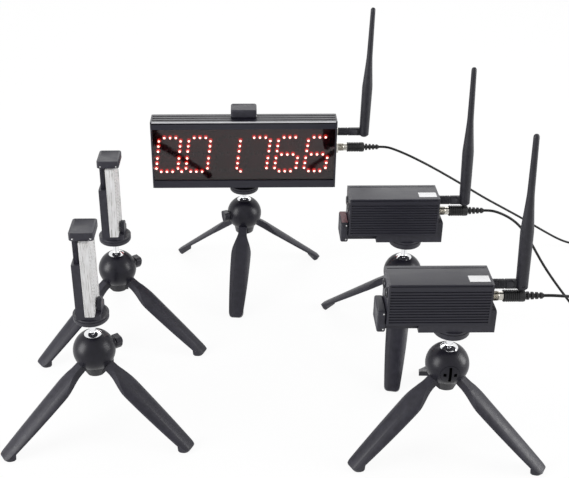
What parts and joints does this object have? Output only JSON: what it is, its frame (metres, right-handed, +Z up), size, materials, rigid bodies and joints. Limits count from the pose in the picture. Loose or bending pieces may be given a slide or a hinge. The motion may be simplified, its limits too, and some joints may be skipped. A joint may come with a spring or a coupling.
{
  "type": "laser sprint timer",
  "caption": "Sprint timing kit: lamp display, laser gates and reflectors, each held by a sprung clamp on a folding mini tripod with a ball head, with fold-down antennas and power leads.",
  "frame": {"origin": "centre of the kit's footprint on the floor, leads left out", "axes": "+X to the right as one faces the display, +Y away from the viewer, +Z up; the laser gates look along -X at the reflectors"},
  "size_m": [0.7758, 0.4749, 0.3671],
  "materials": {
    "housing_black": "glossy moulded",
    "leg_black": "satin moulded",
    "ball_chrome": "polished chrome plate",
    "clamp_grey": "fine moulded grain",
    "case_black": "black anodised extrusion",
    "plate_dark": "dark anodised plate",
    "smoked_window": "smoked acrylic",
    "board_green": "solder mask",
    "nickel": "nickel plated",
    "antenna_black": "satin moulded",
    "reflector_clear": "prismatic clear",
    "lead_black": "smooth jacket"
  },
  "bodies": {
    "root": {"tripod_housings": "housing_black", "power_cables": "lead_black", "cable_coils": "lead_black", "usb_plugs": "lead_black"},
    "display_head": {"display_ball_stud": "ball_chrome", "display_clamp_frame": "clamp_grey", "display_case": "case_black", "display_end_plates": "plate_dark", "display_window": "smoked_window", "display_led_board": "board_green", "display_connectors": "nickel"},
    "display_jaw": {"display_clamp_jaw": "clamp_grey"},
    "display_leg_a": {"display_leg_a": "leg_black"},
    "display_leg_b": {"display_leg_b": "leg_black"},
    "display_leg_c": {"display_leg_c": "leg_black"},
    "display_lock": {"display_lock_knob": "leg_black"},
    "laser_rear_head": {"laser_rear_ball_stud": "ball_chrome", "laser_rear_clamp_frame": "clamp_grey", "laser_rear_case": "case_black", "laser_rear_end_plates": "plate_dark", "laser_rear_module": "board_green", "laser_rear_connectors": "nickel"},
    "laser_rear_jaw": {"laser_rear_clamp_jaw": "clamp_grey"},
    "laser_rear_leg_a": {"laser_rear_leg_a": "leg_black"},
    "laser_rear_leg_b": {"laser_rear_leg_b": "leg_black"},
    "laser_rear_leg_c": {"laser_rear_leg_c": "leg_black"},
    "laser_rear_lock": {"laser_rear_lock_knob": "leg_black"},
    "laser_front_head": {"laser_front_ball_stud": "ball_chrome", "laser_front_clamp_frame": "clamp_grey", "laser_front_case": "case_black", "laser_front_end_plates": "plate_dark", "laser_front_module": "board_green", "laser_front_connectors": "nickel"},
    "laser_front_jaw": {"laser_front_clamp_jaw": "clamp_grey"},
    "laser_front_leg_a": {"laser_front_leg_a": "leg_black"},
    "laser_front_leg_b": {"laser_front_leg_b": "leg_black"},
    "laser_front_leg_c": {"laser_front_leg_c": "leg_black"},
    "laser_front_lock": {"laser_front_lock_screw": "housing_black"},
    "reflector_rear_head": {"reflector_rear_ball_stud": "ball_chrome", "reflector_rear_clamp_frame": "clamp_grey", "reflector_rear_plate": "reflector_clear"},
    "reflector_rear_jaw": {"reflector_rear_clamp_jaw": "clamp_grey"},
    "reflector_rear_leg_a": {"reflector_rear_leg_a": "leg_black"},
    "reflector_rear_leg_b": {"reflector_rear_leg_b": "leg_black"},
    "reflector_rear_leg_c": {"reflector_rear_leg_c": "leg_black"},
    "reflector_rear_lock": {"reflector_rear_lock_knob": "leg_black"},
    "reflector_front_head": {"reflector_front_ball_stud": "ball_chrome", "reflector_front_clamp_frame": "clamp_grey", "reflector_front_plate": "reflector_clear"},
    "reflector_front_jaw": {"reflector_front_clamp_jaw": "clamp_grey"},
    "reflector_front_leg_a": {"reflector_front_leg_a": "leg_black"},
    "reflector_front_leg_b": {"reflector_front_leg_b": "leg_black"},
    "reflector_front_leg_c": {"reflector_front_leg_c": "leg_black"},
    "reflector_front_lock": {"reflector_front_lock_knob": "leg_black"},
    "display_antenna_base": {"display_antenna_base": "antenna_black"},
    "display_antenna_whip": {"display_antenna_whip": "antenna_black"},
    "laser_rear_antenna_base": {"laser_rear_antenna_base": "antenna_black"},
    "laser_rear_antenna_whip": {"laser_rear_antenna_whip": "antenna_black"},
    "laser_front_antenna_base": {"laser_front_antenna_base": "antenna_black"},
    "laser_front_antenna_whip": {"laser_front_antenna_whip": "antenna_black"}
  },
  "joints": [
    {"name": "display_tilt", "type": "hinge", "parent": "root", "child": "display_head", "pos_m": [-0.026, 0.1645, 0.10233], "axis": [1, 0, 0], "range_deg": [-20, 20], "deforming": ["power_cables"]},
    {"name": "laser_rear_tilt", "type": "hinge", "parent": "root", "child": "laser_rear_head", "pos_m": [0.1595, 0.012, 0.10233], "axis": [0, 1, 0], "range_deg": [-20, 20], "deforming": ["power_cables"]},
    {"name": "laser_front_tilt", "type": "hinge", "parent": "root", "child": "laser_front_head", "pos_m": [0.179, -0.169, 0.10233], "axis": [0, 1, 0], "range_deg": [-20, 20], "deforming": ["power_cables"]},
    {"name": "reflector_rear_tilt", "type": "hinge", "parent": "root", "child": "reflector_rear_head", "pos_m": [-0.176, 0.0225, 0.10233], "axis": [0, 1, 0], "range_deg": [-20, 20]},
    {"name": "reflector_front_tilt", "type": "hinge", "parent": "root", "child": "reflector_front_head", "pos_m": [-0.181, -0.1425, 0.10233], "axis": [0, 1, 0], "range_deg": [-20, 20]},
    {"name": "display_jaw_slide", "type": "slide", "parent": "display_head", "child": "display_jaw", "axis": [0, 0, 1], "range_m": [0, 0.015], "stiffness_N_per_m": 300, "springref_m": -0.04},
    {"name": "laser_rear_jaw_slide", "type": "slide", "parent": "laser_rear_head", "child": "laser_rear_jaw", "axis": [-1, 0, 0], "range_m": [0, 0.004], "stiffness_N_per_m": 300, "springref_m": -0.04},
    {"name": "laser_front_jaw_slide", "type": "slide", "parent": "laser_front_head", "child": "laser_front_jaw", "axis": [-1, 0, 0], "range_m": [0, 0.004], "stiffness_N_per_m": 300, "springref_m": -0.04},
    {"name": "reflector_rear_jaw_slide", "type": "slide", "parent": "reflector_rear_head", "child": "reflector_rear_jaw", "axis": [0, 0, 1], "range_m": [0, 0.011], "stiffness_N_per_m": 300, "springref_m": -0.04},
    {"name": "reflector_front_jaw_slide", "type": "slide", "parent": "reflector_front_head", "child": "reflector_front_jaw", "axis": [0, 0, 1], "range_m": [0, 0.011], "stiffness_N_per_m": 300, "springref_m": -0.04},
    {"name": "display_antenna_swivel", "type": "hinge", "parent": "display_head", "child": "display_antenna_base", "pos_m": [0.089, 0.15375, 0.21114], "axis": [-1, 0, 0], "range_deg": [-60, 60]},
    {"name": "laser_rear_antenna_swivel", "type": "hinge", "parent": "laser_rear_head", "child": "laser_rear_antenna_base", "pos_m": [0.192, 0.012, 0.18634], "axis": [-1, 0, 0], "range_deg": [-60, 60]},
    {"name": "laser_front_antenna_swivel", "type": "hinge", "parent": "laser_front_head", "child": "laser_front_antenna_base", "pos_m": [0.2115, -0.169, 0.18634], "axis": [-1, 0, 0], "range_deg": [-60, 60]},
    {"name": "display_antenna_fold", "type": "hinge", "parent": "display_antenna_base", "child": "display_antenna_whip", "pos_m": [0.1235, 0.15375, 0.21114], "axis": [0, 1, 0], "range_deg": [0, 90]},
    {"name": "laser_rear_antenna_fold", "type": "hinge", "parent": "laser_rear_antenna_base", "child": "laser_rear_antenna_whip", "pos_m": [0.223, 0.012, 0.18634], "axis": [0, 1, 0], "range_deg": [0, 90]},
    {"name": "laser_front_antenna_fold", "type": "hinge", "parent": "laser_front_antenna_base", "child": "laser_front_antenna_whip", "pos_m": [0.2425, -0.169, 0.18634], "axis": [0, 1, 0], "range_deg": [0, 90]},
    {"name": "display_leg_a_fold", "type": "hinge", "parent": "root", "child": "display_leg_a", "pos_m": [-0.02731, 0.15207, 0.08064], "axis": [0.9945, -0.1045, 0], "range_deg": [0, 41.5]},
    {"name": "display_leg_b_fold", "type": "hinge", "parent": "root", "child": "display_leg_b", "pos_m": [-0.01458, 0.16958, 0.08064], "axis": [-0.4067, 0.9135, 0], "range_deg": [0, 41.5]},
    {"name": "display_leg_c_fold", "type": "hinge", "parent": "root", "child": "display_leg_c", "pos_m": [-0.03611, 0.17185, 0.08064], "axis": [-0.5878, -0.809, 0], "range_deg": [0, 41.5]},
    {"name": "laser_rear_leg_a_fold", "type": "hinge", "parent": "root", "child": "laser_rear_leg_a", "pos_m": [0.15712, -0.00027, 0.08064], "axis": [0.9816, -0.1908, 0], "range_deg": [0, 41.5]},
    {"name": "laser_rear_leg_b_fold", "type": "hinge", "parent": "root", "child": "laser_rear_leg_b", "pos_m": [0.17132, 0.01607, 0.08064], "axis": [-0.3256, 0.9455, 0], "range_deg": [0, 41.5]},
    {"name": "laser_rear_leg_c_fold", "type": "hinge", "parent": "root", "child": "laser_rear_leg_c", "pos_m": [0.15007, 0.0202, 0.08064], "axis": [-0.6561, -0.7547, 0], "range_deg": [0, 41.5]},
    {"name": "laser_front_leg_a_fold", "type": "hinge", "parent": "root", "child": "laser_front_leg_a", "pos_m": [0.16796, -0.17487, 0.08064], "axis": [0.4695, -0.8829, 0], "range_deg": [0, 41.5]},
    {"name": "laser_front_leg_b_fold", "type": "hinge", "parent": "root", "child": "laser_front_leg_b", "pos_m": [0.1896, -0.17562, 0.08064], "axis": [0.5299, 0.848, 0], "range_deg": [0, 41.5]},
    {"name": "laser_front_leg_c_fold", "type": "hinge", "parent": "root", "child": "laser_front_leg_c", "pos_m": [0.17944, -0.15651, 0.08064], "axis": [-0.9994, 0.0349, 0], "range_deg": [0, 41.5]},
    {"name": "reflector_rear_leg_a_fold", "type": "hinge", "parent": "root", "child": "reflector_rear_leg_a", "pos_m": [-0.18598, 0.01498, 0.08064], "axis": [0.6018, -0.7986, 0], "range_deg": [0, 41.5]},
    {"name": "reflector_rear_leg_b_fold", "type": "hinge", "parent": "root", "child": "reflector_rear_leg_b", "pos_m": [-0.16449, 0.01762, 0.08064], "axis": [0.3907, 0.9205, 0], "range_deg": [0, 41.5]},
    {"name": "reflector_rear_leg_c_fold", "type": "hinge", "parent": "root", "child": "reflector_rear_leg_c", "pos_m": [-0.17752, 0.03491, 0.08064], "axis": [-0.9925, -0.1219, 0], "range_deg": [0, 41.5]},
    {"name": "reflector_front_leg_a_fold", "type": "hinge", "parent": "root", "child": "reflector_front_leg_a", "pos_m": [-0.19136, -0.14949, 0.08064], "axis": [0.5592, -0.829, 0], "range_deg": [0, 41.5]},
    {"name": "reflector_front_leg_b_fold", "type": "hinge", "parent": "root", "child": "reflector_front_leg_b", "pos_m": [-0.16976, -0.14798, 0.08064], "axis": [0.4384, 0.8988, 0], "range_deg": [0, 41.5]},
    {"name": "reflector_front_leg_c_fold", "type": "hinge", "parent": "root", "child": "reflector_front_leg_c", "pos_m": [-0.18187, -0.13003, 0.08064], "axis": [-0.9976, -0.0698, 0], "range_deg": [0, 41.5]},
    {"name": "display_lock_turn", "type": "hinge", "parent": "root", "child": "display_lock", "pos_m": [-0.026, 0.1645, 0.09314], "axis": [-0.9135, -0.4067, 0], "range_deg": [0, 180]},
    {"name": "laser_rear_lock_turn", "type": "hinge", "parent": "root", "child": "laser_rear_lock", "pos_m": [0.1595, 0.012, 0.09314], "axis": [0.1908, 0.9816, 0], "range_deg": [0, 180]},
    {"name": "laser_front_lock_turn", "type": "hinge", "parent": "root", "child": "laser_front_lock", "pos_m": [0.179, -0.169, 0.09314], "axis": [-0.0349, -0.9994, 0], "range_deg": [0, 180]},
    {"name": "reflector_rear_lock_turn", "type": "hinge", "parent": "root", "child": "reflector_rear_lock", "pos_m": [-0.176, 0.0225, 0.09314], "axis": [0.7986, 0.6018, 0], "range_deg": [0, 180]},
    {"name": "reflector_front_lock_turn", "type": "hinge", "parent": "root", "child": "reflector_front_lock", "pos_m": [-0.181, -0.1425, 0.09314], "axis": [0.829, 0.5592, 0], "range_deg": [0, 180]}
  ]
}
